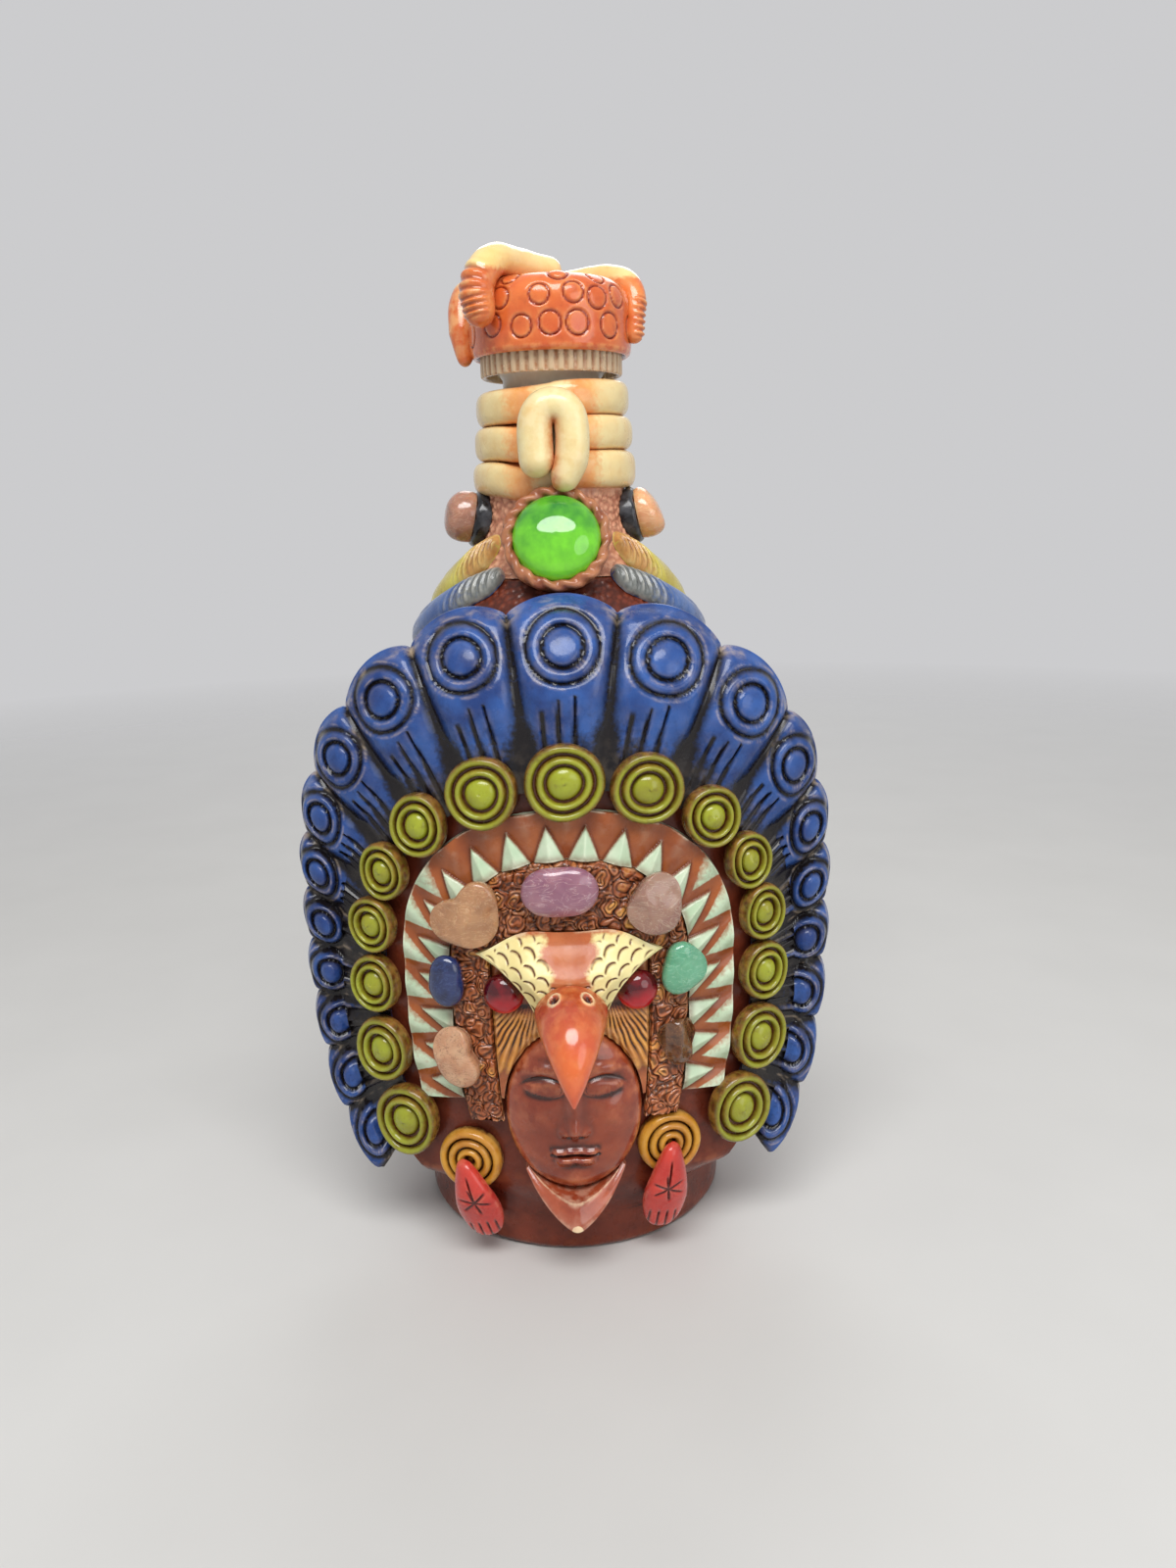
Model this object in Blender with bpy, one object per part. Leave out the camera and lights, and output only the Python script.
"""Figural bottle: a round glass bottle dressed in modelled clay, closed by a screw cap.

Sizes are millimetres and become metres when a mesh is made. The origin is the middle of the
underside, +Z runs up the bottle and the face looks along -Y.
"""

import math

import bmesh
import bpy
from mathutils import Vector

MM = 0.001

# Clearance between pieces that touch
GAP = 0.3

# Clay body and the glass bottle inside it
BODY_RADIUS = 46.0
CLAY_WALL = 5.2
CLAY_BASE = 4.0
FOOT_ROUND = 3.0
GLASS_WALL = 3.5
GLASS_BASE = 6.0
SHOULDER_Z = 150.0
SHOULDER_RISE = 64.0
SHOULDER_HANDLE = 35.0
NECK_HANDLE = 24.0
NECK_RADIUS = 20.0
GLASS_NECK_RADIUS = 13.8
NECK_BORE_RADIUS = 9.6
SLEEVE_SHARE = 0.62
SHOULDER_STEPS = 4
SLEEVE_STEPS = 4
ROUND_SEGMENTS = 32
NECK_Z = SHOULDER_Z + SHOULDER_RISE
GLASS_RADIUS = BODY_RADIUS - CLAY_WALL - GAP
GLASS_Z = CLAY_BASE + GAP

# Rolled bands and knot on the neck
BAND_COUNT = 3
BAND_HEIGHT = 9.0
BAND_DEPTH = 8.0
BAND_FLARE = 0.8
BAND_LIFT = 2.0
BAND_SEGMENTS = 22
KNOT_TUBE = 4.2
KNOT_SLOT = 1.6
BAND_Z = NECK_Z + BAND_LIFT
BAND_PITCH = BAND_HEIGHT + GAP
BAND_TOP_Z = BAND_Z + BAND_COUNT * BAND_PITCH
BAND_INNER = GLASS_NECK_RADIUS + GAP
BAND_REACH = BAND_INNER + BAND_DEPTH + (BAND_COUNT - 1) * BAND_FLARE

# Threaded mouth and screw cap
FINISH_RADIUS = 16.8
FINISH_HEIGHT = 17.6
FINISH_BORE_RADIUS = 12.5
BARE_NECK = 2.6
THREAD_PITCH = 4.0
THREAD_DEPTH = 1.2
THREAD_BASE = 1.7
THREAD_CREST = 0.8
THREAD_TURNS = 1.5
CAP_THREAD_TURNS = 1.25
THREAD_DROP = 10.5
THREAD_STEPS = 20
THREAD_ROOT = 0.7
CAP_CLEARANCE = 0.4
CAP_WALL = 1.5
CAP_TOP_WALL = 2.0
CAP_RIB = 0.4
CAP_RIBS = 24
CAP_BARE_SKIRT = 5.0
LINER_THICKNESS = 1.5
CAP_SKIRT_Z = BAND_TOP_Z + BARE_NECK
MOUTH_Z = CAP_SKIRT_Z + FINISH_HEIGHT
CAP_BORE = FINISH_RADIUS + THREAD_DEPTH + CAP_CLEARANCE
CAP_RADIUS = CAP_BORE + CAP_WALL
LINER_Z = MOUTH_Z + GAP
CAP_CEILING_Z = LINER_Z + LINER_THICKNESS + GAP
CAP_TOP_Z = CAP_CEILING_Z + CAP_TOP_WALL

# Clay cover and limbs on the cap
COVER_WALL = 2.0
COVER_TOP_WALL = 3.0
COVER_ROUND = 7.0
COVER_SEGMENTS = 28
LIMB_RADIUS = 4.4
LIMB_ABOVE_COVER = 5.0
LIMB_SPAN = 19.0
COVER_BORE = CAP_RADIUS + CAP_RIB + GAP
COVER_RADIUS = COVER_BORE + COVER_WALL
COVER_Z = CAP_SKIRT_Z + CAP_BARE_SKIRT
COVER_TOP_Z = CAP_TOP_Z + GAP + COVER_TOP_WALL
LIMB_TOP_Z = COVER_TOP_Z + LIMB_ABOVE_COVER
LIMB_SIDE_Z = LIMB_TOP_Z - LIMB_SPAN

# Limbs: shares of the cover's radius across and back, share of the way up, share of the limb's radius
LEFT_LIMB = (
    (0.13, 0.22, 1.0, 0.8),
    (-0.3, -0.13, 1.0, 0.95),
    (-0.65, -0.6, 1.0, 1.0),
    (-0.86, -0.9, 0.42, 0.95),
    (-0.86, -0.95, 0.0, 0.8),
)
RIGHT_LIMB = (
    (0.09, 0.65, 1.0, 0.8),
    (0.56, 0.39, 1.0, 0.95),
    (1.03, 0.0, 0.79, 1.0),
    (1.2, -0.22, 0.32, 0.85),
    (1.2, -0.3, -0.16, 0.7),
)
REAR_LIMB = (
    (-0.78, 0.43, 1.0, 0.6),
    (-1.08, 0.34, 0.68, 1.0),
    (-1.25, 0.26, 0.1, 0.9),
    (-1.16, 0.17, -0.32, 0.5),
)

# Glass cabochon on the throat
CABOCHON_RADIUS = 11.9
CABOCHON_RISE = 7.0
CABOCHON_BELOW_NECK = 11.5
CABOCHON_TILT = 22.0
CABOCHON_STANDOFF = 6.3
BEZEL_WALL = 1.4
BEZEL_RIM = 2.4
CABOCHON_Z = NECK_Z - CABOCHON_BELOW_NECK

# Pads and stones at the neck sides
EAR_AZIMUTH = 80.0
EAR_BELOW_NECK = 6.0
EAR_PAD = (7.6, 7.6, 3.0)
EAR_STONE = (6.4, 7.2, 8.4)
EAR_Z = NECK_Z - EAR_BELOW_NECK

# Feathers lying on the shoulder
SHOULDER_FEATHER_THICKNESS = 3.4
SHOULDER_FEATHER_HALF = 4.6
SHOULDER_FEATHER_END_ANGLE = 128.0
SHOULDER_FEATHER_BELOW_NECK = 10.4
SHOULDER_FEATHER_DROP = 17.0
FALL_START_ANGLE = 20.0
FALL_SPAN_ANGLE = 70.0
OLIVE_START_ANGLE = 42.0
DARK_START_ANGLE = 34.0
DARK_BELOW = 9.5
SHOULDER_FEATHER_Z = NECK_Z - SHOULDER_FEATHER_BELOW_NECK

# Headdress: its front is a shallow shield bowed across the body
SHIELD_RADIUS = 105.0
CORE_LIFT = 4.0
CORE_HALF_WIDTH = 62.0
CORE_CENTRE = 95.0
CORE_BELOW_NECK = 39.0
CORE_BOTTOM = 10.0
CORE_EDGE = 4.0
CORE_SHELF = 2.0
CORE_POWER = 2.6
CORE_WRAP_ANGLE = 72.0
CORE_END_WRAP_ANGLE = 24.0
ARCH_POWER_UP = 2.3
ARCH_POWER_DOWN = 3.0
SEAT_GAP = 0.5
CORE_TOP = NECK_Z - CORE_BELOW_NECK
SEAT = CORE_LIFT + SEAT_GAP

# Feather fan
FAN_HALF_WIDTH = 76.0
FAN_CENTRE = 108.0
FAN_BELOW_NECK = 25.0
FAN_BOTTOM = 4.0
FAN_FOOT = 22.0
FAN_THICKNESS = 5.6
FAN_EDGE = 0.9
ROOT_THICKNESS = 2.2
FEATHERS_LEFT = 10
FEATHERS_RIGHT = 9
FEATHER_CROWN = 1.3
FEATHER_SINK = 1.0
FEATHER_FALL = 3.0
FEATHER_GROOVE = 2.0
GROOVE_TIP_WIDTH = 1.1
GROOVE_ROOT_WIDTH = 3.0
FEATHER_SCALLOP = 0.09
FEATHER_CROWDING = 0.2
FEATHER_LEAN = 0.2
FEATHER_ACROSS = (0.0, 0.07, 0.16, 0.3, 0.5, 0.7, 0.84, 0.93)
FEATHER_ALONG = (1.0, 0.96, 0.88, 0.7, 0.5, 0.3, 0.15, 0.05)
ROOT_INSET = 2.5
FAN_TOP = NECK_Z - FAN_BELOW_NECK
ROOT_TOP = SEAT + ROOT_THICKNESS

# Discs
DISC_HALF_WIDTH = 53.5
DISC_CENTRE = 92.0
DISC_TOP = 142.0
DISC_BOTTOM = 22.0
DISC_FOOT = 43.0
DISCS_PER_SIDE = 7
DISC_CROWDING = 0.15
DISC_THICKNESS = 4.6
DISC_SEGMENTS = 12
DISC_MARGIN = 0.6

# Tooth collar and helmet hair
COLLAR_INSET = 21.0
COLLAR_TEETH = 20
TOOTH_WIDTH = 6.2
TOOTH_HEIGHT = 2.6
COLLAR_FOOT = 51.0
HAIR_THICKNESS = 4.9
HAIR_HALF_WIDTH = 21.5
HAIR_OPENING_TOP = 101.0
HAIR_FOOT = 46.0
HAIR_TOP = SEAT + HAIR_THICKNESS

# Tumbled stones on the helmet: place across and up, half sizes, height, turn in degrees
STONES = (
    ("purple_stone", -2.0, 113.8, 10.2, 6.8, 6.0, 4.0),
    ("tan_stone_left", -26.6, 107.6, 9.2, 9.0, 5.6, 20.0),
    ("tan_stone_right", 21.9, 109.2, 7.2, 8.8, 5.6, -14.0),
    ("blue_stone_left", -32.6, 88.2, 4.9, 7.3, 5.0, 6.0),
    ("green_stone_right", 30.0, 90.2, 6.5, 7.4, 5.2, -8.0),
    ("pink_stone_left", -30.6, 66.6, 5.6, 9.0, 5.4, -20.0),
    ("tiger_stone_right", 28.4, 68.2, 5.2, 7.2, 5.0, 12.0),
)
STONE_SEGMENTS = 12

# Face under the beak
FACE_HALF_WIDTH = 19.0
FACE_Z = 49.0
FACE_RISE = 25.0
FACE_DROP = 23.0
FACE_DOME = 7.0
FACE_RIM = 2.6
FACE_SEGMENTS = 24

# Eagle head
PLATE_THICKNESS = 4.7
PLATE_FOOT_ANGLE = 116.0
PLUME_RISE = 1.6
BROW_THICKNESS = 8.2
BROW_TIP = (24.0, 96.5)
BROW_ROOT = (9.5, 79.5)
BROW_TOP_Z = 101.5
BEAK_Z = 83.6
BEAK_REACH = 18.6
BEAK_DROP = 18.1
BEAK_HALF_WIDTH = 10.4
BEAK_HALF_HEIGHT = 6.6
EYE_PLACE = (17.8, 84.6)
EYE_RADIUS = 5.0
EYE_RISE = 4.6
JAW_HALF_ANGLE = 46.0
JAW_WIDTH = 9.0
JAW_END_WIDTH = 1.6
JAW_RISE = 14.0
JAW_END_RISE = 3.0
PLATE_TOP = SEAT + PLATE_THICKNESS
BROW_SEAT = PLATE_TOP + GAP
BROW_TOP = BROW_SEAT + BROW_THICKNESS
BEAK_SEAT = BROW_TOP + GAP

# Ear spools and leaf pendants
SPOOL_PLACES = {"left": (-29.1, 32.4), "right": (26.2, 36.0)}
SPOOL_RADIUS = 9.2
SPOOL_THICKNESS = 4.4
PENDANT_STARTS = {"left": (-31.8, 33.6), "right": (27.4, 37.4)}
PENDANT_ENDS = {"left": (-25.2, 8.2), "right": (23.6, 9.4)}
PENDANT_HALF_WIDTH = 7.0
PENDANT_THICKNESS = 3.6
PENDANT_PAST_SPOOL = 1.6
SPOOL_TOP = SEAT + SPOOL_THICKNESS

# Paints and materials: colour and roughness
BROWN_CLAY = ("brown_clay", (0.17, 0.075, 0.03), 0.42)
CREAM_CLAY = ("cream_clay", (0.72, 0.5, 0.25), 0.35)
BLACK_CLAY = ("black_clay", (0.02, 0.018, 0.02), 0.35)
BLUE_CLAY = ("blue_clay", (0.03, 0.07, 0.33), 0.35)
DARK_CLAY = ("dark_clay", (0.02, 0.028, 0.06), 0.38)
OLIVE_CLAY = ("olive_clay", (0.24, 0.21, 0.05), 0.38)
LIME_CLAY = ("lime_clay", (0.45, 0.42, 0.08), 0.36)
MINT_CLAY = ("mint_clay", (0.24, 0.42, 0.3), 0.4)
HAIR_CLAY = ("hair_clay", (0.33, 0.17, 0.06), 0.42)
RUST_CLAY = ("rust_clay", (0.42, 0.13, 0.035), 0.36)
OCHRE_CLAY = ("ochre_clay", (0.6, 0.3, 0.06), 0.36)
RED_CLAY = ("red_clay", (0.42, 0.035, 0.02), 0.36)
BEAK_CLAY = ("beak_clay", (0.62, 0.16, 0.03), 0.25)
FACE_CLAY = ("face_clay", (0.36, 0.13, 0.05), 0.36)
GLASS = ("bottle_glass", (0.72, 0.78, 0.76), 0.06)
GREEN_GLASS = ("green_glass", (0.02, 0.2, 0.07), 0.06)
RED_GLASS = ("red_glass", (0.5, 0.01, 0.01), 0.06)
CLEAR_PLASTIC = ("clear_plastic", (0.74, 0.72, 0.66), 0.18)
LINER_FOAM = ("liner_foam", (0.82, 0.81, 0.78), 0.6)
STONE_PAINTS = {
    "purple_stone": ("purple_agate", (0.3, 0.12, 0.26), 0.16),
    "tan_stone_left": ("tan_jasper", (0.52, 0.33, 0.2), 0.18),
    "tan_stone_right": ("mauve_jasper", (0.45, 0.27, 0.24), 0.18),
    "blue_stone_left": ("blue_agate", (0.03, 0.05, 0.14), 0.14),
    "green_stone_right": ("green_aventurine", (0.1, 0.32, 0.2), 0.16),
    "pink_stone_left": ("pink_quartz", (0.55, 0.3, 0.27), 0.16),
    "tiger_stone_right": ("tiger_eye", (0.4, 0.2, 0.06), 0.15),
}
PEACH_STONE = ("peach_moonstone", (0.68, 0.46, 0.32), 0.2)


def painted(paint):
    """The material of that paint, made on first use."""
    name, colour, roughness = paint
    material = bpy.data.materials.get(name)
    if material is None:
        material = bpy.data.materials.new(name)
        material.use_nodes = True
        shader = material.node_tree.nodes["Principled BSDF"]
        shader.inputs["Base Color"].default_value = (*colour, 1.0)
        shader.inputs["Roughness"].default_value = roughness
    return material


def skin(rings, start=None, end=None):
    """A closed skin over rings of points, ending in two points or joined up into a loop."""
    count = len(rings[0])
    points = [Vector(point) for ring in rings for point in ring]
    faces = []
    spans = len(rings) if start is None else len(rings) - 1
    for i in range(spans):
        here = i * count
        there = (i + 1) % len(rings) * count
        for j in range(count):
            k = (j + 1) % count
            faces.append((here + j, here + k, there + k, there + j))
    if start is not None:
        last = (len(rings) - 1) * count
        points += [Vector(start), Vector(end)]
        for j in range(count):
            k = (j + 1) % count
            faces.append((len(points) - 2, k, j))
            faces.append((len(points) - 1, last + j, last + k))
    return points, faces


def middle(ring):
    """The mean of a ring's points."""
    return sum((Vector(point) for point in ring), Vector()) / len(ring)


def loft(rings):
    """A skin over rings with each end closed on its own middle."""
    return skin(rings, middle(rings[0]), middle(rings[-1]))


def add_part(name, paint, surface):
    """A named object for one closed skin, facing outward, with smooth rounds and sharp edges."""
    points, faces = surface
    mesh = bpy.data.meshes.new(name)
    mesh.from_pydata([point * MM for point in points], [], faces)
    sheet = bmesh.new()
    sheet.from_mesh(mesh)
    bmesh.ops.recalc_face_normals(sheet, faces=sheet.faces)
    sheet.to_mesh(mesh)
    sheet.free()
    mesh.polygons.foreach_set("use_smooth", [True] * len(mesh.polygons))
    mesh.set_sharp_from_angle(angle=math.radians(38.0))
    mesh.materials.append(painted(paint))
    part = bpy.data.objects.new(name, mesh)
    bpy.context.collection.objects.link(part)
    return part


def join_thread(part, surface):
    """Join a thread ridge to a part."""
    ridge = add_part(part.name + "_thread", BLACK_CLAY, surface)
    ridge.hide_render = True
    ridge.display_type = "WIRE"
    union = part.modifiers.new("thread", "BOOLEAN")
    union.operation = "UNION"
    union.solver = "EXACT"
    union.object = ridge


def ring(radius, z, segments, rib=0.0):
    """Points round the Z axis; every other one stands out by the rib."""
    points = []
    for j in range(segments):
        angle = 2.0 * math.pi * j / segments
        reach = radius + rib * (j % 2)
        points.append(Vector((reach * math.sin(angle), -reach * math.cos(angle), z)))
    return points


def shoulder_point(share, radius, neck):
    """Radius and height at a share of the shoulder curve from one radius to the other."""
    rest = 1.0 - share
    ends = (rest ** 3, 3.0 * rest * rest * share, 3.0 * rest * share * share, share ** 3)
    heights = (SHOULDER_Z, SHOULDER_Z + SHOULDER_HANDLE, NECK_Z - NECK_HANDLE, NECK_Z)
    z = sum(end * height for end, height in zip(ends, heights))
    return (ends[0] + ends[1]) * radius + (ends[2] + ends[3]) * neck, z


def body_radius(z):
    """Outer radius of the clay at a height."""
    if z <= SHOULDER_Z:
        return BODY_RADIUS
    if z >= NECK_Z:
        return NECK_RADIUS
    low, high = 0.0, 1.0
    for _ in range(40):
        share = (low + high) / 2.0
        if shoulder_point(share, BODY_RADIUS, NECK_RADIUS)[1] < z:
            low = share
        else:
            high = share
    return shoulder_point(low, BODY_RADIUS, NECK_RADIUS)[0]


def shoulder_run(radius, neck):
    """Points along the shoulder curve up to the sleeve's lower edge."""
    shares = [SLEEVE_SHARE * i / SHOULDER_STEPS for i in range(SHOULDER_STEPS + 1)]
    return [shoulder_point(share, radius, neck) for share in shares]


def sleeve_run(radius, neck):
    """Points along the shoulder curve from the sleeve's lower edge to the neck."""
    shares = [SLEEVE_SHARE + (1.0 - SLEEVE_SHARE) * i / SLEEVE_STEPS for i in range(SLEEVE_STEPS + 1)]
    return [shoulder_point(share, radius, neck) for share in shares]


def turned(profile, segments):
    """Rings for (radius, z) pairs."""
    return [ring(radius, z, segments) for radius, z in profile]


def thread_ridge(root, crest, z, turns):
    """A helical ridge from a root radius to a crest radius, fading out at both ends."""
    steps = int(round(THREAD_STEPS * turns))
    rings = []
    for i in range(steps + 1):
        turn = i / THREAD_STEPS
        fade = min(1.0, 4.0 * min(i, steps - i) / THREAD_STEPS)
        top = root + (crest - root) * (0.12 + 0.88 * fade)
        angle = 2.0 * math.pi * turn
        height = z + THREAD_PITCH * turn
        corners = (
            (root, height - THREAD_BASE / 2.0),
            (top, height - THREAD_CREST / 2.0),
            (top, height + THREAD_CREST / 2.0),
            (root, height + THREAD_BASE / 2.0),
        )
        rings.append([Vector((r * math.cos(angle), r * math.sin(angle), h)) for r, h in corners])
    return loft(rings)


def make_bottle():
    """Glass bottle, the clay over it and the clay neck sleeve."""
    inner = GLASS_RADIUS - GLASS_WALL
    floor = GLASS_Z + GLASS_BASE
    flare = FINISH_RADIUS - GLASS_NECK_RADIUS
    profile = [(GLASS_RADIUS - 4.0, GLASS_Z), (GLASS_RADIUS, GLASS_Z + 4.0)]
    profile += shoulder_run(GLASS_RADIUS, GLASS_NECK_RADIUS) + sleeve_run(GLASS_RADIUS, GLASS_NECK_RADIUS)[1:]
    profile += [
        (GLASS_NECK_RADIUS, CAP_SKIRT_Z - 0.5),
        (FINISH_RADIUS, CAP_SKIRT_Z - 0.5 + flare),
        (FINISH_RADIUS, MOUTH_Z - 0.8),
        (FINISH_RADIUS - 0.8, MOUTH_Z),
        (FINISH_BORE_RADIUS + 0.8, MOUTH_Z),
        (FINISH_BORE_RADIUS, MOUTH_Z - 0.8),
        (NECK_BORE_RADIUS, CAP_SKIRT_Z),
    ]
    inside = shoulder_run(inner, NECK_BORE_RADIUS) + sleeve_run(inner, NECK_BORE_RADIUS)[1:]
    profile += inside[::-1]
    profile += [(inner, floor + 4.0), (inner - 4.0, floor)]
    rings = turned(profile, ROUND_SEGMENTS)
    glass = add_part("glass_bottle", GLASS, skin(rings, (0.0, 0.0, GLASS_Z), (0.0, 0.0, floor)))
    crest = FINISH_RADIUS + THREAD_DEPTH
    thread_z = MOUTH_Z - THREAD_DROP
    join_thread(glass, thread_ridge(FINISH_RADIUS - THREAD_ROOT, crest, thread_z, THREAD_TURNS))

    outer = [(BODY_RADIUS - FOOT_ROUND, 0.0)]
    outer += [(BODY_RADIUS - 0.3 * FOOT_ROUND, 0.3 * FOOT_ROUND), (BODY_RADIUS, FOOT_ROUND)]
    outer += shoulder_run(BODY_RADIUS, NECK_RADIUS)
    bore = shoulder_run(GLASS_RADIUS + GAP, GLASS_NECK_RADIUS + GAP)[::-1]
    bore += [(GLASS_RADIUS + GAP, GLASS_Z + 4.0), (GLASS_RADIUS + GAP, CLAY_BASE)]
    rings = turned(outer + bore, ROUND_SEGMENTS)
    add_part("clay_body", BROWN_CLAY, skin(rings, (0.0, 0.0, 0.0), (0.0, 0.0, CLAY_BASE)))

    outer = sleeve_run(BODY_RADIUS, NECK_RADIUS)
    bore = sleeve_run(GLASS_RADIUS + GAP, GLASS_NECK_RADIUS + GAP)[::-1]
    outer[0] = (outer[0][0], outer[0][1] + GAP)
    bore[-1] = (bore[-1][0], bore[-1][1] + GAP)
    add_part("neck_sleeve", BROWN_CLAY, skin(turned(outer + bore, ROUND_SEGMENTS)))


def make_neck_bands():
    """Three rolled bands round the glass neck and the folded knot on their front."""
    for i, name in enumerate(("neck_band_lower", "neck_band_middle", "neck_band_upper")):
        half_depth = (BAND_DEPTH + BAND_FLARE * (BAND_COUNT - 1 - i)) / 2.0
        z = BAND_Z + BAND_PITCH * i + BAND_HEIGHT / 2.0
        profile = []
        for k in range(7):
            angle = 2.0 * math.pi * (k + 0.5) / 7.0
            across = math.copysign(abs(math.cos(angle)) ** 0.6, math.cos(angle))
            along = math.copysign(abs(math.sin(angle)) ** 0.8, math.sin(angle))
            profile.append((BAND_INNER + half_depth * (1.0 + across), z + BAND_HEIGHT / 2.0 * along))
        inner = BAND_INNER / math.cos(math.pi / BAND_SEGMENTS)
        profile = [(max(radius, inner), height) for radius, height in profile]
        add_part(name, CREAM_CLAY, skin(turned(profile, BAND_SEGMENTS)))

    half_width = KNOT_TUBE + KNOT_SLOT / 2.0
    half_height = (BAND_TOP_Z - BAND_Z) / 2.0 + GAP - KNOT_TUBE
    z = (BAND_Z + BAND_TOP_Z) / 2.0
    forward = Vector((0.0, -1.0, 0.0))
    rings = []
    for i in range(20):
        angle = 2.0 * math.pi * i / 20
        out = Vector((math.sin(angle), 0.0, math.cos(angle)))
        stretch = math.copysign(half_height - half_width, out.z) if abs(out.z) > 0.01 else 0.0
        height = z + half_width * out.z + stretch
        lean = BAND_FLARE * max(height - BAND_Z - BAND_HEIGHT, 0.0) / BAND_PITCH
        centre = Vector((half_width * out.x, lean - BAND_REACH - GAP - KNOT_TUBE, height))
        tube = []
        for k in range(8):
            turn = math.pi * k / 4.0
            tube.append(centre + KNOT_TUBE * (math.cos(turn) * out + math.sin(turn) * forward))
        rings.append(tube)
    add_part("neck_knot", CREAM_CLAY, skin(rings))


def make_cap():
    """Screw cap, liner, clay cover and its limbs."""
    count = 2 * CAP_RIBS
    rings = [
        ring(CAP_RADIUS - 1.0, CAP_TOP_Z, count),
        ring(CAP_RADIUS, CAP_TOP_Z - 1.0, count, CAP_RIB),
        ring(CAP_RADIUS, CAP_SKIRT_Z, count, CAP_RIB),
        ring(CAP_BORE, CAP_SKIRT_Z, count),
        ring(CAP_BORE, CAP_CEILING_Z, count),
    ]
    cap = add_part("screw_cap", CLEAR_PLASTIC, skin(rings, (0.0, 0.0, CAP_TOP_Z), (0.0, 0.0, CAP_CEILING_Z)))
    crest = FINISH_RADIUS + CAP_CLEARANCE
    thread_z = MOUTH_Z - THREAD_DROP - THREAD_PITCH / 2.0
    join_thread(cap, thread_ridge(CAP_BORE + THREAD_ROOT, crest, thread_z, CAP_THREAD_TURNS))

    radius = CAP_BORE - CAP_CLEARANCE
    rings = turned([(radius, LINER_Z), (radius, LINER_Z + LINER_THICKNESS)], COVER_SEGMENTS)
    add_part("cap_liner", LINER_FOAM, loft(rings))

    profile = [(COVER_BORE, CAP_TOP_Z + GAP), (COVER_BORE, COVER_Z), (COVER_RADIUS - 1.0, COVER_Z)]
    profile.append((COVER_RADIUS, COVER_Z + 3.0))
    for i in range(5):
        angle = math.pi * i / 8.0
        radius = COVER_RADIUS - COVER_ROUND * (1.0 - math.cos(angle))
        profile.append((radius, COVER_TOP_Z - COVER_ROUND * (1.0 - math.sin(angle))))
    rings = turned(profile, COVER_SEGMENTS)
    surface = skin(rings, (0.0, 0.0, CAP_TOP_Z + GAP), (0.0, 0.0, COVER_TOP_Z))
    add_part("cap_cover", RUST_CLAY, surface)

    add_part("cap_limb_left", CREAM_CLAY, limb(LEFT_LIMB))
    add_part("cap_limb_right", CREAM_CLAY, limb(RIGHT_LIMB))
    add_part("cap_limb_rear", RUST_CLAY, limb(REAR_LIMB))


def rest_on_cover(point, radius):
    """The point moved so that a ball of that radius just clears the cap's cover."""
    away = math.hypot(point.x, point.y)
    flat = max(away - (COVER_RADIUS - COVER_ROUND), 0.0)
    high = max(point.z - (COVER_TOP_Z - COVER_ROUND), 0.0)
    if flat == 0.0 and high == 0.0:
        return point
    scale = (COVER_ROUND + radius + GAP) / math.hypot(flat, high)
    out = (COVER_RADIUS - COVER_ROUND + flat * scale) if flat > 0.0 else away
    z = COVER_TOP_Z - COVER_ROUND + high * scale if high > 0.0 else point.z
    spread = out / away if away > 0.0 else 1.0
    return Vector((point.x * spread, point.y * spread, z))


def along_points(points, share):
    """A point on the smooth curve through some points."""
    span = share * (len(points) - 1)
    i = min(int(span), len(points) - 2)
    t = span - i
    p = [Vector(points[min(max(i + k, 0), len(points) - 1)]) for k in (-1, 0, 1, 2)]
    slope_a = (p[2] - p[0]) / 2.0
    slope_b = (p[3] - p[1]) / 2.0
    blend = t * t * (3.0 - 2.0 * t)
    return p[1] * (1.0 - blend) + p[2] * blend + slope_a * t * (1.0 - t) ** 2 - slope_b * t * t * (1.0 - t)


def limb(shares):
    """A rounded limb lying against the cap's cover."""
    points = []
    for across, back, up, _ in shares:
        points.append((COVER_RADIUS * across, COVER_RADIUS * back, LIMB_SIDE_Z + LIMB_SPAN * up))
    steps = 12
    path = []
    for i in range(steps + 1):
        share = i / steps
        span = share * (len(shares) - 1)
        k = min(int(span), len(shares) - 2)
        size = LIMB_RADIUS * (shares[k][3] + (shares[k + 1][3] - shares[k][3]) * (span - k))
        path.append((rest_on_cover(along_points(points, share), size), size))
    rings = []
    for i, (centre, size) in enumerate(path):
        ahead = path[min(i + 1, steps)][0] - path[max(i - 1, 0)][0]
        side = ahead.cross(Vector((0.0, 0.0, 1.0))).normalized()
        up = side.cross(ahead).normalized()
        tube = []
        for k in range(8):
            turn = math.pi * k / 4.0
            tube.append(centre + size * (math.cos(turn) * side + math.sin(turn) * up))
        rings.append(tube)
    return loft(rings)


def drop_to_body(point, normal):
    """The point carried back along a normal until it just clears the clay body."""
    low, high = 0.0, 30.0
    for _ in range(40):
        step = (low + high) / 2.0
        spot = point - normal * step
        if math.hypot(spot.x, spot.y) > body_radius(spot.z) + SEAT_GAP:
            low = step
        else:
            high = step
    return point - normal * low


def round_pad(centre, normal, half_width, half_height, segments, levels):
    """Rings round a centre facing a normal, one for each (share of the outline, height)."""
    across = Vector((0.0, 0.0, 1.0)).cross(normal).normalized()
    up = normal.cross(across)
    rings = []
    for share, height in levels:
        level = []
        for j in range(segments):
            angle = 2.0 * math.pi * j / segments
            flat = across * (half_width * math.cos(angle)) + up * (half_height * math.sin(angle))
            level.append(centre + flat * share + normal * height)
        rings.append(level)
    return rings


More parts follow.
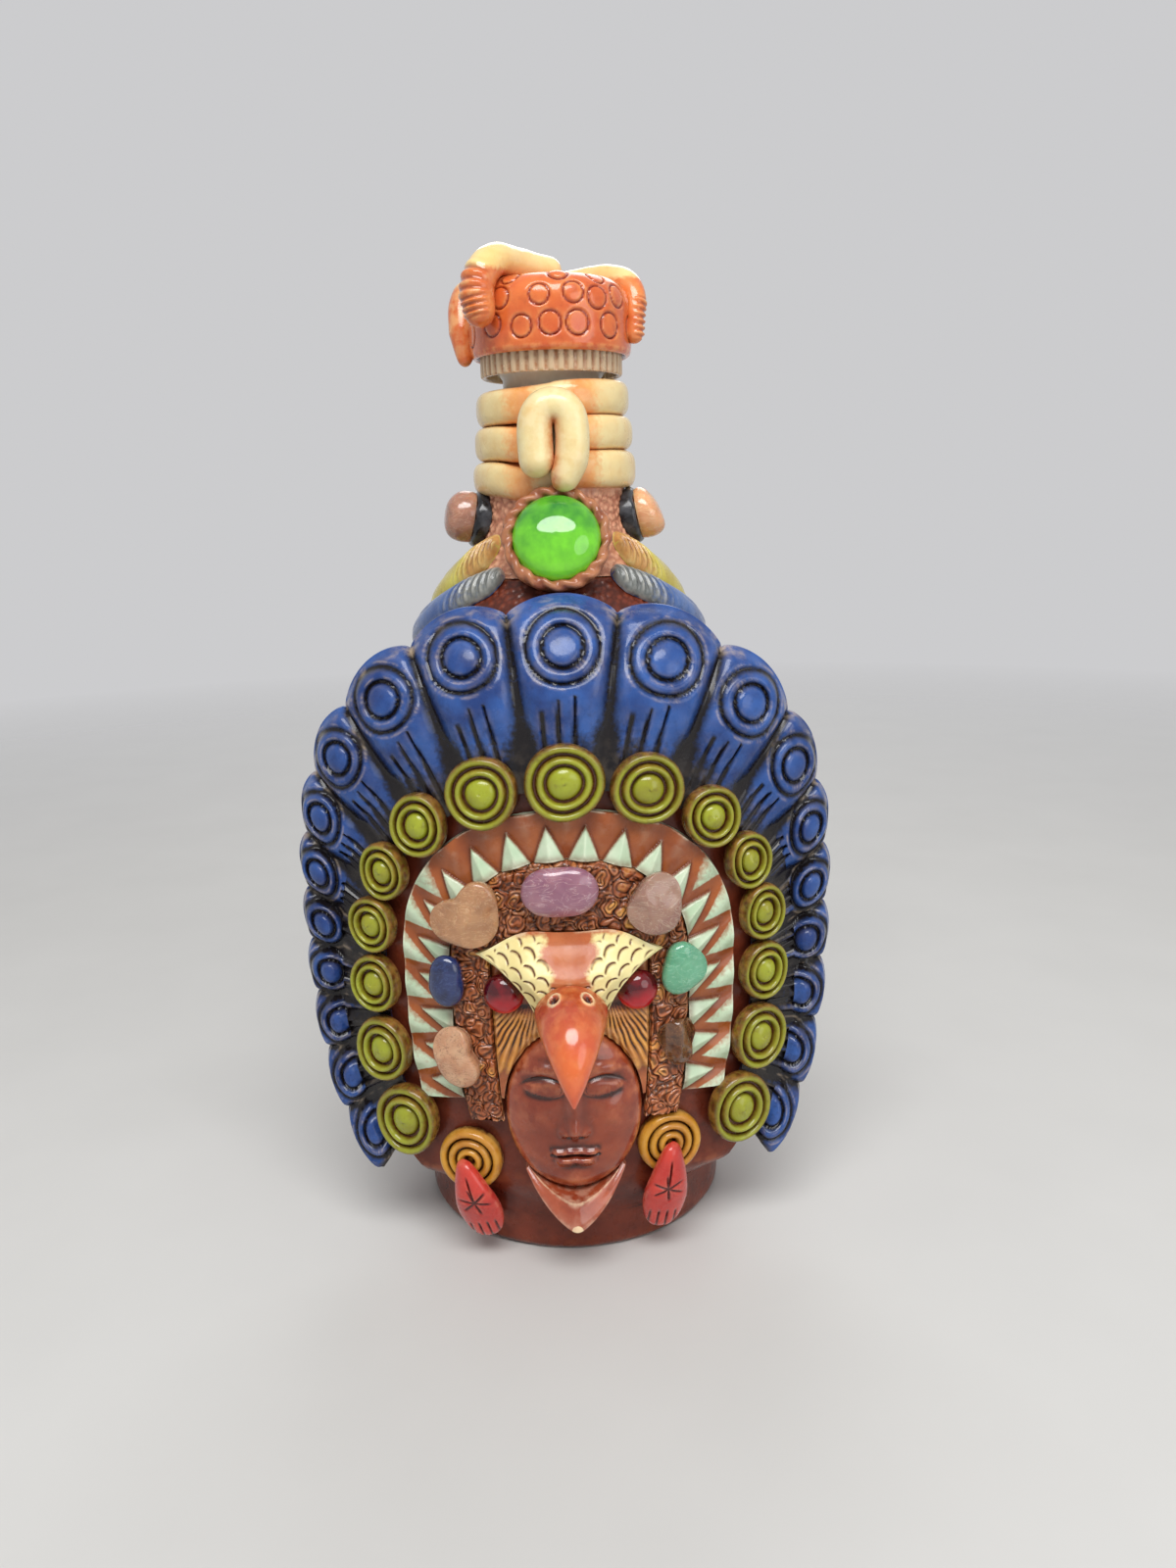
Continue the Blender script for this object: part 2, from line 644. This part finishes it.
def dropped_pad(centre, normal, half_width, half_height, segments, levels):
    """A pad whose back follows the clay body."""
    tops = round_pad(centre, normal, half_width, half_height, segments, levels)
    flats = [(0.35, 0.0), (0.7, 0.0), (1.0, 0.0)]
    backs = round_pad(centre, normal, half_width, half_height, segments, flats)
    backs = [[drop_to_body(point, normal) for point in level] for level in backs]
    return skin(backs + tops, drop_to_body(centre, normal), centre + normal * levels[-1][1])


def make_throat():
    """Braided seat with its glass cabochon, and the pads and stones at the neck sides."""
    tilt = math.radians(CABOCHON_TILT)
    normal = Vector((0.0, -math.cos(tilt), math.sin(tilt)))
    centre = Vector((0.0, -(body_radius(CABOCHON_Z) + CABOCHON_STANDOFF), CABOCHON_Z))
    seat = CABOCHON_RADIUS + GAP
    outer = seat + BEZEL_WALL
    levels = [(1.0, BEZEL_RIM * 0.5), (1.0 - 0.3 * BEZEL_WALL / outer, BEZEL_RIM)]
    levels += [(seat / outer, BEZEL_RIM), (seat / outer, 0.0)]
    add_part("cabochon_seat", BROWN_CLAY, dropped_pad(centre, normal, outer, outer, 24, levels))
    levels = [(1.0, GAP), (1.0, 0.3 * CABOCHON_RISE), (0.85, 0.66 * CABOCHON_RISE)]
    levels += [(0.6, 0.9 * CABOCHON_RISE), (0.3, CABOCHON_RISE)]
    rings = round_pad(centre, normal, CABOCHON_RADIUS, CABOCHON_RADIUS, 24, levels)
    surface = skin(rings, centre + normal * GAP, centre + normal * (CABOCHON_RISE + GAP))
    add_part("green_cabochon", GREEN_GLASS, surface)

    slope = body_radius(EAR_Z - 3.0) - body_radius(EAR_Z + 3.0)
    for side, word in ((-1, "left"), (1, "right")):
        angle = math.radians(EAR_AZIMUTH) * side
        outward = Vector((math.sin(angle), -math.cos(angle), 0.0))
        normal = (outward * 6.0 + Vector((0.0, 0.0, slope))).normalized()
        foot = outward * body_radius(EAR_Z) + Vector((0.0, 0.0, EAR_Z))
        half_width, half_height, height = EAR_PAD
        top = foot + normal * (GAP + height)
        surface = dropped_pad(top, normal, half_width, half_height, 16, [(1.0, -0.8), (0.9, 0.0)])
        add_part("ear_pad_" + word, BLACK_CLAY, surface)
        half_width, half_height, height = EAR_STONE
        levels = [(0.85, GAP), (1.0, 0.3 * height), (0.85, 0.7 * height), (0.5, 0.95 * height)]
        rings = round_pad(top, normal, half_width, half_height, 14, levels)
        surface = skin(rings, top + normal * GAP, top + normal * height)
        add_part("ear_stone_" + word, PEACH_STONE, surface)


def on_shoulder(azimuth, z, height):
    """A point at a height off the clay body, by azimuth from the front in degrees."""
    angle = math.radians(azimuth)
    slope = (body_radius(z - 0.5) - body_radius(z + 0.5))
    scale = height / math.hypot(1.0, slope)
    reach = body_radius(z) + scale
    return Vector((reach * math.sin(angle), -reach * math.cos(angle), z + slope * scale))


def shoulder_feather(side, start, below):
    """A long feather lying round the shoulder, thick in the middle and tapered at both ends."""
    rings = []
    steps = 14
    for i in range(steps + 1):
        share = i / steps
        azimuth = start + (SHOULDER_FEATHER_END_ANGLE - start) * share
        fall = max(azimuth - FALL_START_ANGLE, 0.0) / FALL_SPAN_ANGLE
        z = SHOULDER_FEATHER_Z - below - SHOULDER_FEATHER_DROP * fall ** 1.2
        taper = 0.35 + 0.65 * math.sin(math.pi * min(1.0, 0.12 + 0.88 * share)) ** 0.7
        half = SHOULDER_FEATHER_HALF * taper
        rise = SHOULDER_FEATHER_THICKNESS * (0.5 + 0.5 * taper)
        edge = GAP + 0.4 * rise
        section = [(-half, GAP), (0.0, GAP), (half, GAP), (half, edge), (0.0, GAP + rise), (-half, edge)]
        rings.append([on_shoulder(side * azimuth, z + up, height) for up, height in section])
    return loft(rings)


def make_shoulder_feathers():
    """Olive feathers with blue-black ones under them."""
    for side, word in ((-1, "left"), (1, "right")):
        add_part("olive_feather_" + word, OLIVE_CLAY, shoulder_feather(side, OLIVE_START_ANGLE, 0.0))
        add_part("dark_feather_" + word, DARK_CLAY, shoulder_feather(side, DARK_START_ANGLE, DARK_BELOW))


def shield(x, z, lift):
    """The point of the headdress surface at that place across and up, lifted off the body."""
    return Vector((x, -(body_radius(z) + lift) + x * x / (2.0 * SHIELD_RADIUS), z))


def shield_normal(x, z):
    """The direction the headdress faces at that place."""
    slope = body_radius(z - 0.5) - body_radius(z + 0.5)
    return Vector((x / SHIELD_RADIUS, -1.0, slope)).normalized()


class Arch:
    """An arch of the headdress seen from the front, walked from its top to either foot."""

    def __init__(self, half_width, centre, top, bottom, foot):
        self.path = []
        length = 0.0
        steps = 400
        for i in range(steps + 1):
            angle = math.pi * i / steps
            flat, up = math.sin(angle), math.cos(angle)
            power = ARCH_POWER_UP if up >= 0.0 else ARCH_POWER_DOWN
            rise = top - centre if up >= 0.0 else bottom - centre
            x = half_width * max(flat, 0.0) ** (2.0 / power)
            z = centre + rise * abs(up) ** (2.0 / power)
            if z < foot:
                break
            if self.path:
                length += math.hypot(x - self.path[-1][1], z - self.path[-1][2])
            self.path.append((length, x, z))
        self.length = length

    def at(self, share):
        """Place across and up at a share of the way to the right foot, or the left if negative."""
        goal = min(abs(share), 1.0) * self.length
        low, high = 0, len(self.path) - 1
        while high - low > 1:
            half = (low + high) // 2
            if self.path[half][0] <= goal:
                low = half
            else:
                high = half
        a, b = self.path[low], self.path[high]
        t = (goal - a[0]) / max(b[0] - a[0], 1e-9)
        return math.copysign(a[1] + (b[1] - a[1]) * t, share), a[2] + (b[2] - a[2]) * t


def disc_arch(inset, foot=DISC_FOOT):
    """The arch of the disc centres, or one inside it."""
    return Arch(DISC_HALF_WIDTH - inset, DISC_CENTRE, DISC_TOP - inset, DISC_BOTTOM, foot)


def crowded(share, crowding):
    """A share moved so that copies crowd together half way down each side."""
    return share + crowding * math.sin(2.0 * math.pi * share) / (2.0 * math.pi)


def between(a, b, share):
    """The place at a share of the way between two places."""
    return a[0] + (b[0] - a[0]) * share, a[1] + (b[1] - a[1]) * share


def core_half_width(z):
    """Half the width of the headdress core at a height."""
    rise = CORE_TOP - CORE_CENTRE if z > CORE_CENTRE else CORE_CENTRE - CORE_BOTTOM
    return CORE_HALF_WIDTH * (1.0 - (abs(z - CORE_CENTRE) / rise) ** CORE_POWER) ** (1.0 / CORE_POWER)


def core_height(half_width, rise):
    """Height where the headdress core is that wide, above or below its centre."""
    return CORE_CENTRE + rise * (1.0 - (half_width / CORE_HALF_WIDTH) ** CORE_POWER) ** (1.0 / CORE_POWER)


def make_core():
    """The clay mass that fills the space between the round body and the headdress."""
    rings = []
    wraps = [CORE_END_WRAP_ANGLE + (CORE_WRAP_ANGLE - CORE_END_WRAP_ANGLE) * i / 6.0 for i in range(7)]
    ends = [BODY_RADIUS * math.sin(math.radians(wrap)) + CORE_SHELF for wrap in wraps]
    rows = [core_height(half, CORE_BOTTOM - CORE_CENTRE) for half in ends]
    upper = [core_height(half, CORE_TOP - CORE_CENTRE) for half in reversed(ends)]
    rows += [rows[-1] + (upper[0] - rows[-1]) * i / 4.0 for i in range(1, 4)]
    rows += upper
    halves = [core_half_width(z) for z in rows]
    bores = [body_radius(z) + GAP for z in rows]
    sines = [min(1.0, (half - CORE_SHELF) / bore) for half, bore in zip(halves, bores)]
    reaches = [min(math.asin(sine), math.radians(CORE_WRAP_ANGLE)) for sine in sines]
    for i, z in enumerate(rows):
        near = reaches[max(i - 1, 0):i + 2]
        bend = max(near) - min(near) + reaches[i] / 5.0
        away = bores[i] / math.cos(bend / 2.0)
        front = [shield(halves[i] * k / 5.0, z, CORE_LIFT) for k in range(-5, 6)]
        back = [front[-1] + Vector((0.0, CORE_EDGE, 0.0))]
        for k in range(5, -6, -1):
            angle = reaches[i] * k / 5.0
            back.append(Vector((away * math.sin(angle), -away * math.cos(angle), z)))
        back.append(front[0] + Vector((0.0, CORE_EDGE, 0.0)))
        rings.append(front + back)
    start = (rings[0][5] + rings[0][17]) / 2.0
    end = (rings[-1][5] + rings[-1][17]) / 2.0
    add_part("headdress_core", BROWN_CLAY, skin(rings, start, end))


def step(low, high, value):
    """Smooth step from 0 at low to 1 at high."""
    t = min(max((value - low) / (high - low), 0.0), 1.0)
    return t * t * (3.0 - 2.0 * t)


def feather_edges():
    """Shares along the fan where the feathers meet, from left foot to right."""
    left = FEATHERS_LEFT + 0.5
    right = FEATHERS_RIGHT + 0.5
    edges = [-(left - i) / left for i in range(FEATHERS_LEFT + 1)]
    return edges + [(0.5 + i) / right for i in range(FEATHERS_RIGHT + 1)]


def feather_height(across, reach, width):
    """Thickness of the fan on a feather: a rounded crown with a valley at either side."""
    body = FAN_THICKNESS * (0.62 + 0.38 * step(0.0, 0.5, reach)) - FEATHER_FALL * step(0.86, 1.0, reach) ** 2
    crown = FEATHER_CROWN * (1.0 - abs(2.0 * across - 1.0) ** 2.2) * step(0.0, 0.3, reach)
    aside = min(across, 1.0 - across) * width
    broad = GROOVE_ROOT_WIDTH + (GROOVE_TIP_WIDTH - GROOVE_ROOT_WIDTH) * reach
    valley = FEATHER_GROOVE * math.exp(-(aside / broad) ** 2) * step(1.0, 0.93, reach)
    return max(body - FEATHER_SINK + crown - valley, FAN_EDGE)


def make_fan():
    """The sheet of feathers behind the discs."""
    tips = Arch(FAN_HALF_WIDTH, FAN_CENTRE, FAN_TOP, FAN_BOTTOM, FAN_FOOT)
    roots = disc_arch(ROOT_INSET)
    cover = ROOT_INSET + max(radius for _, _, radius in disc_places()) + DISC_MARGIN

    def ends(share, across):
        """Root and tip of a line along the fan, drawn back beside each feather."""
        share = crowded(share, FEATHER_CROWDING) + FEATHER_LEAN * math.sin(math.pi * share) / math.pi
        root = roots.at(share)
        drawn = FEATHER_SCALLOP * (1.0 - math.sin(math.pi * across) ** 0.7)
        return root, between(root, tips.at(share), 1.0 - drawn)

    def at(line, reach):
        """Place on a line at a share of the part that the discs leave open."""
        span = math.dist(*line)
        return between(*line, (cover + (span - cover) * reach) / span)

    edges = feather_edges()
    rings = []
    for a, b in zip(edges, edges[1:]):
        sides = ends(a, 0.0), ends(b, 0.0)
        for across in FEATHER_ACROSS + ((1.0,) if b == edges[-1] else ()):
            line = ends(a + (b - a) * across, across)
            section = [shield(*between(*line, k / 6.0), SEAT) for k in range(7)]
            for reach in FEATHER_ALONG:
                width = math.dist(at(sides[0], reach), at(sides[1], reach))
                section.append(shield(*at(line, reach), SEAT + feather_height(across, reach, width)))
            section.append(shield(*at(line, 0.0), ROOT_TOP))
            section.append(shield(*line[0], ROOT_TOP))
            rings.append(section)
    add_part("feather_fan", BLUE_CLAY, loft(rings))


def disc_places():
    """Place and radius of each disc, from the left foot over the top to the right foot."""
    arch = disc_arch(0.0)
    count = DISCS_PER_SIDE
    places = [arch.at(crowded(i / count, DISC_CROWDING)) for i in range(-count, count + 1)]
    spots = [shield(x, z, ROOT_TOP) for x, z in places]
    steps = [(b - a).length for a, b in zip(spots, spots[1:])]
    discs = []
    for i, (x, z) in enumerate(places):
        near = min(steps[max(i - 1, 0)], steps[min(i, len(steps) - 1)])
        discs.append((x, z, near / 2.0 - GAP))
    return discs


def shield_pad(x, z, radius, seat, segments, levels, top):
    """A round pad standing square on the headdress surface, its back following it."""
    normal = shield_normal(x, z)
    across = Vector((0.0, 0.0, 1.0)).cross(normal).normalized()
    up = normal.cross(across)
    rings = []
    for share, height in levels:
        level = []
        for j in range(segments):
            angle = 2.0 * math.pi * j / segments
            flat = (across * math.cos(angle) + up * math.sin(angle)) * radius * share
            level.append(shield(x + flat.x, z + flat.z, seat) + normal * height)
        rings.append(level)
    return skin(rings, shield(x, z, seat), shield(x, z, seat) + normal * top)


def make_discs():
    """Discs with a rim, a groove and a button, side by side along the fan."""
    high = DISC_THICKNESS
    levels = ((1.0, 0.0), (1.0, 0.6 * high), (0.84, 0.9 * high), (0.64, 0.6 * high), (0.36, 0.68 * high))
    for i, (x, z, radius) in enumerate(disc_places()):
        surface = shield_pad(x, z, radius, ROOT_TOP + GAP, DISC_SEGMENTS, levels, high)
        add_part("disc_%02d" % (i + 1), LIME_CLAY, surface)


def make_helmet():
    """Tooth collar and hair of the helmet, with the tumbled stones set on them."""
    flat = max(radius for _, _, radius in disc_places()) + DISC_MARGIN
    insets = (COLLAR_INSET, flat + TOOTH_WIDTH, flat + 0.5 * TOOTH_WIDTH, flat, ROOT_INSET + GAP)
    arches = [disc_arch(inset, COLLAR_FOOT) for inset in insets]
    rings = []
    rows = 2 * COLLAR_TEETH
    for i in range(rows + 1):
        share = 2.0 * i / rows - 1.0
        tooth = TOOTH_HEIGHT if i % 2 else -0.4 * TOOTH_HEIGHT
        section = [shield(*arches[k].at(share), SEAT) for k in (0, 2, 4)]
        section += [shield(*arches[k].at(share), ROOT_TOP) for k in (4, 3)]
        section.append(shield(*arches[2].at(share), ROOT_TOP + tooth))
        section += [shield(*arches[k].at(share), ROOT_TOP) for k in (1, 0)]
        rings.append(section)
    add_part("tooth_collar", MINT_CLAY, loft(rings))

    outer = disc_arch(COLLAR_INSET + GAP, HAIR_FOOT)
    inner = Arch(HAIR_HALF_WIDTH, DISC_CENTRE, HAIR_OPENING_TOP, DISC_BOTTOM, HAIR_FOOT)
    rings = []
    rows = 28
    for i in range(rows + 1):
        share = 2.0 * i / rows - 1.0
        a, b = inner.at(share), outer.at(share)
        middle_place = between(a, b, 0.5)
        lower = [shield(*a, SEAT), shield(*middle_place, SEAT), shield(*b, SEAT)]
        upper = [shield(*b, HAIR_TOP - 0.5), shield(*middle_place, HAIR_TOP), shield(*a, HAIR_TOP - 0.5)]
        rings.append(lower + upper)
    add_part("helmet_hair", HAIR_CLAY, loft(rings))

    for name, x, z, half_width, half_height, high, turn in STONES:
        angle = math.radians(turn)
        rings = []
        for share, height in ((0.8, 0.0), (1.0, 0.3), (0.88, 0.7), (0.55, 0.95)):
            level = []
            for j in range(STONE_SEGMENTS):
                around = 2.0 * math.pi * j / STONE_SEGMENTS
                a = half_width * share * math.copysign(abs(math.cos(around)) ** 0.85, math.cos(around))
                b = half_height * share * math.copysign(abs(math.sin(around)) ** 0.85, math.sin(around))
                right = x + a * math.cos(angle) - b * math.sin(angle)
                up = z + a * math.sin(angle) + b * math.cos(angle)
                level.append(shield(right, up, HAIR_TOP + GAP + height * high))
            rings.append(level)
        surface = skin(rings, shield(x, z, HAIR_TOP + GAP), shield(x, z, HAIR_TOP + GAP + high))
        add_part(name, STONE_PAINTS[name], surface)


def face_edge(angle, grow=0.0):
    """Place on the face's outline, by angle from straight up, or on one grown from it."""
    rise = FACE_RISE if math.cos(angle) > 0.0 else FACE_DROP
    return (FACE_HALF_WIDTH + grow) * math.sin(angle), FACE_Z + (rise + grow) * math.cos(angle)


def bump(x, z, centre_x, centre_z, wide, tall):
    """A soft rise of height one on both sides of the face."""
    return math.exp(-((abs(x) - centre_x) / wide) ** 2 - ((z - centre_z) / tall) ** 2)


def face_lift(x, z):
    """Height of the face: brow, nose base and chin a third apart, eyes just under the brow."""
    rise = FACE_RISE if z > FACE_Z else FACE_DROP
    away = min(1.0, math.hypot(x / FACE_HALF_WIDTH, (z - FACE_Z) / rise))
    chin = FACE_Z - FACE_DROP
    third = FACE_DROP * 0.82
    nose_base = chin + third
    brow = nose_base + third
    eye = brow - 0.3 * third
    mouth = nose_base - third / 3.0
    eye_x = 0.4 * FACE_HALF_WIDTH
    lift = FACE_RIM + FACE_DOME * math.sqrt(1.0 - away * away)
    lift += 1.2 * bump(x, z, eye_x, brow, 6.0, 2.4)
    lift -= 1.6 * bump(x, z, eye_x, eye, 4.4, 2.6)
    lift += 1.5 * bump(x, z, eye_x, eye, 3.0, 1.5)
    lift += 3.6 * bump(x, z, 0.0, nose_base + 2.6, 2.6, 3.4)
    lift += 2.2 * bump(x, z, 0.0, nose_base + 9.0, 2.2, 6.0)
    lift += 1.2 * bump(x, z, 2.8, nose_base + 1.6, 1.7, 1.7)
    lift += 1.5 * bump(x, z, 0.0, mouth + 1.4, 5.0, 1.3)
    lift += 1.6 * bump(x, z, 0.0, mouth - 1.8, 4.2, 1.5)
    lift += 1.2 * bump(x, z, 0.0, chin + 3.4, 4.6, 2.8)
    return lift


def make_face():
    """The face under the beak."""
    rings = []
    for share in (0.5, 1.0):
        level = []
        for j in range(FACE_SEGMENTS):
            place = face_edge(2.0 * math.pi * j / FACE_SEGMENTS)
            level.append(shield(*between((0.0, FACE_Z), place, share), SEAT))
        rings.append(level)
    for share in (1.0, 0.93, 0.8, 0.67, 0.54, 0.41, 0.28, 0.15):
        level = []
        for j in range(FACE_SEGMENTS):
            place = between((0.0, FACE_Z), face_edge(2.0 * math.pi * j / FACE_SEGMENTS), share)
            level.append(shield(*place, SEAT + face_lift(*place)))
        rings.append(level)
    surface = skin(rings, shield(0.0, FACE_Z, SEAT), shield(0.0, FACE_Z, SEAT + face_lift(0.0, FACE_Z)))
    add_part("face_mask", FACE_CLAY, surface)


def opening_edge(angle):
    """Place just inside the hair's opening, by angle from straight up round the face's middle."""
    inner = Arch(HAIR_HALF_WIDTH - GAP, DISC_CENTRE, HAIR_OPENING_TOP - GAP, DISC_BOTTOM, FACE_Z)
    best = None
    for step in range(101):
        x, z = inner.at(math.copysign(step / 100.0, angle))
        miss = abs(math.atan2(x, z - FACE_Z) - angle)
        if best is None or miss < best[0]:
            best = (miss, x, z)
    return best[1], best[2]


def make_eagle():
    """Head plate with cheek plumes, brow, eyes, upper beak and lower beak."""
    rings = []
    rows = 24
    limit = math.radians(PLATE_FOOT_ANGLE / 2.0 + 20.0)
    for i in range(rows + 1):
        angle = limit * (2.0 * i / rows - 1.0)
        inner = face_edge(math.atan2(math.tan(angle) * FACE_RISE, FACE_HALF_WIDTH), GAP)
        outer = opening_edge(angle)
        half = between(inner, outer, 0.5)
        plume = PLUME_RISE * (i % 2) * (1.0 if abs(angle) > 0.55 * limit else 0.0)
        lower = [shield(*inner, SEAT), shield(*half, SEAT), shield(*outer, SEAT)]
        edge = PLATE_TOP - 0.6
        upper = [shield(*outer, edge), shield(*half, PLATE_TOP + plume), shield(*inner, edge)]
        rings.append(lower + upper)
    add_part("eagle_head", HAIR_CLAY, loft(rings))

    tip_x, tip_z = BROW_TIP
    root_x, root_z = BROW_ROOT
    right = [(0.0, BROW_TOP_Z - 1.0), (0.5 * tip_x, BROW_TOP_Z), (0.85 * tip_x, tip_z + 3.0), BROW_TIP]
    right += [between(BROW_TIP, BROW_ROOT, 0.5), BROW_ROOT, (0.5 * root_x, root_z - 1.0)]
    outline = right + [(0.0, root_z - 1.5)] + [(-x, z) for x, z in reversed(right[1:])]
    centre = (0.0, BEAK_Z + 2.0)
    rings = []
    for share, height in ((0.5, 0.0), (1.0, 0.0), (1.0, 0.4), (0.8, 0.72), (0.45, 0.98)):
        lift = BROW_SEAT + height * BROW_THICKNESS
        rings.append([shield(*between(centre, place, share), lift) for place in outline])
    surface = skin(rings, shield(*centre, BROW_SEAT), shield(*centre, BROW_TOP))
    add_part("eagle_brow", CREAM_CLAY, surface)

    run = math.dist(BROW_TIP, BROW_ROOT)
    aside = ((tip_z - root_z) / run, -(tip_x - root_x) / run)
    for side, word in ((-1, "left"), (1, "right")):
        x, z = EYE_PLACE
        rings = []
        for share, height in ((0.9, 0.0), (1.0, 0.3), (0.8, 0.75), (0.45, 0.96)):
            level = []
            for j in range(14):
                angle = 2.0 * math.pi * j / 14
                spot = (x + EYE_RADIUS * share * math.cos(angle), z + EYE_RADIUS * share * math.sin(angle))
                clear = (spot[0] - root_x) * aside[0] + (spot[1] - root_z) * aside[1] - 2.0 * GAP
                push = max(0.0, -clear)
                place = (side * (spot[0] + push * aside[0]), spot[1] + push * aside[1])
                level.append(shield(*place, BROW_SEAT + height * EYE_RISE))
            rings.append(level)
        surface = skin(rings, shield(side * x, z, BROW_SEAT), shield(side * x, z, BROW_SEAT + EYE_RISE))
        add_part("eagle_eye_" + word, RED_GLASS, surface)

    root_y = -(BODY_RADIUS + BEAK_SEAT)
    rings = []
    steps = 8
    for i in range(steps + 1):
        share = i / steps
        angle = 0.5 * math.pi * share
        forward = root_y - BEAK_REACH * math.sin(angle)
        centre = Vector((0.0, forward, BEAK_Z - BEAK_DROP * (1.0 - math.cos(angle))))
        up = Vector((0.0, -BEAK_DROP * math.sin(angle), BEAK_REACH * math.cos(angle))).normalized()
        wide = BEAK_HALF_WIDTH * (1.0 - 0.93 * share ** 1.6)
        tall = BEAK_HALF_HEIGHT * (1.0 - 0.86 * share ** 1.6)
        section = []
        for k in range(10):
            turn = 2.0 * math.pi * k / 10
            section.append(centre + Vector((wide * math.sin(turn), 0.0, 0.0)) + up * (tall * math.cos(turn)))
        rings.append(section)
    add_part("upper_beak", BEAK_CLAY, loft(rings))

    rings = []
    rows = 16
    for i in range(rows + 1):
        part = 2.0 * i / rows - 1.0
        angle = math.pi + math.radians(JAW_HALF_ANGLE) * part
        point = 1.0 - abs(part)
        inner = face_edge(angle, GAP)
        outer = face_edge(angle, GAP + JAW_END_WIDTH + (JAW_WIDTH - JAW_END_WIDTH) * point ** 1.5)
        rise = JAW_END_RISE + (JAW_RISE - JAW_END_RISE) * point ** 1.4
        half = between(inner, outer, 0.6)
        lower = [shield(*inner, SEAT), shield(*outer, SEAT)]
        upper = [shield(*outer, SEAT + 0.7 * rise), shield(*half, SEAT + rise)]
        upper.append(shield(*inner, SEAT + 0.8 * rise))
        rings.append(lower + upper)
    add_part("lower_beak", BEAK_CLAY, loft(rings))


def make_ear_ornaments():
    """Ringed ear spools, each with a red leaf hanging over it."""
    high = SPOOL_THICKNESS
    low = 0.6 * high
    levels = ((1.0, 0.0), (1.0, low), (0.84, high), (0.66, low), (0.48, high), (0.28, low))
    for word, spool in SPOOL_PLACES.items():
        surface = shield_pad(*spool, SPOOL_RADIUS, SEAT, 18, levels, 0.8 * high)
        add_part("ear_spool_" + word, OCHRE_CLAY, surface)

        start, end = PENDANT_STARTS[word], PENDANT_ENDS[word]
        length = math.dist(start, end)
        along = ((end[0] - start[0]) / length, (end[1] - start[1]) / length)
        clear = (SPOOL_RADIUS + PENDANT_PAST_SPOOL + math.dist(start, spool)) / length
        rings = []
        steps = 12
        for i in range(steps + 1):
            share = i / steps
            place = between(start, end, share)
            half = PENDANT_HALF_WIDTH * math.sin(math.pi * (0.1 + 0.8 * share)) ** 0.4
            half = half * (0.5 + 0.42 * step(0.0, 0.65, share))
            ramp = min(1.0, max(0.0, (share - clear) / 0.3))
            seat = SPOOL_TOP + GAP + (SEAT - SPOOL_TOP - GAP) * ramp
            left = (place[0] - half * along[1], place[1] + half * along[0])
            right = (place[0] + half * along[1], place[1] - half * along[0])
            lower = [shield(*left, seat), shield(*place, seat), shield(*right, seat)]
            rise = seat + PENDANT_THICKNESS
            upper = [shield(*right, rise - 1.6), shield(*place, rise), shield(*left, rise - 1.6)]
            rings.append(lower + upper)
        add_part("leaf_pendant_" + word, RED_CLAY, loft(rings))


def build():
    """Clear the scene and make every piece."""
    for old in list(bpy.data.objects):
        bpy.data.objects.remove(old, do_unlink=True)
    make_bottle()
    make_neck_bands()
    make_throat()
    make_shoulder_feathers()
    make_core()
    make_fan()
    make_discs()
    make_helmet()
    make_face()
    make_eagle()
    make_ear_ornaments()
    make_cap()


build()
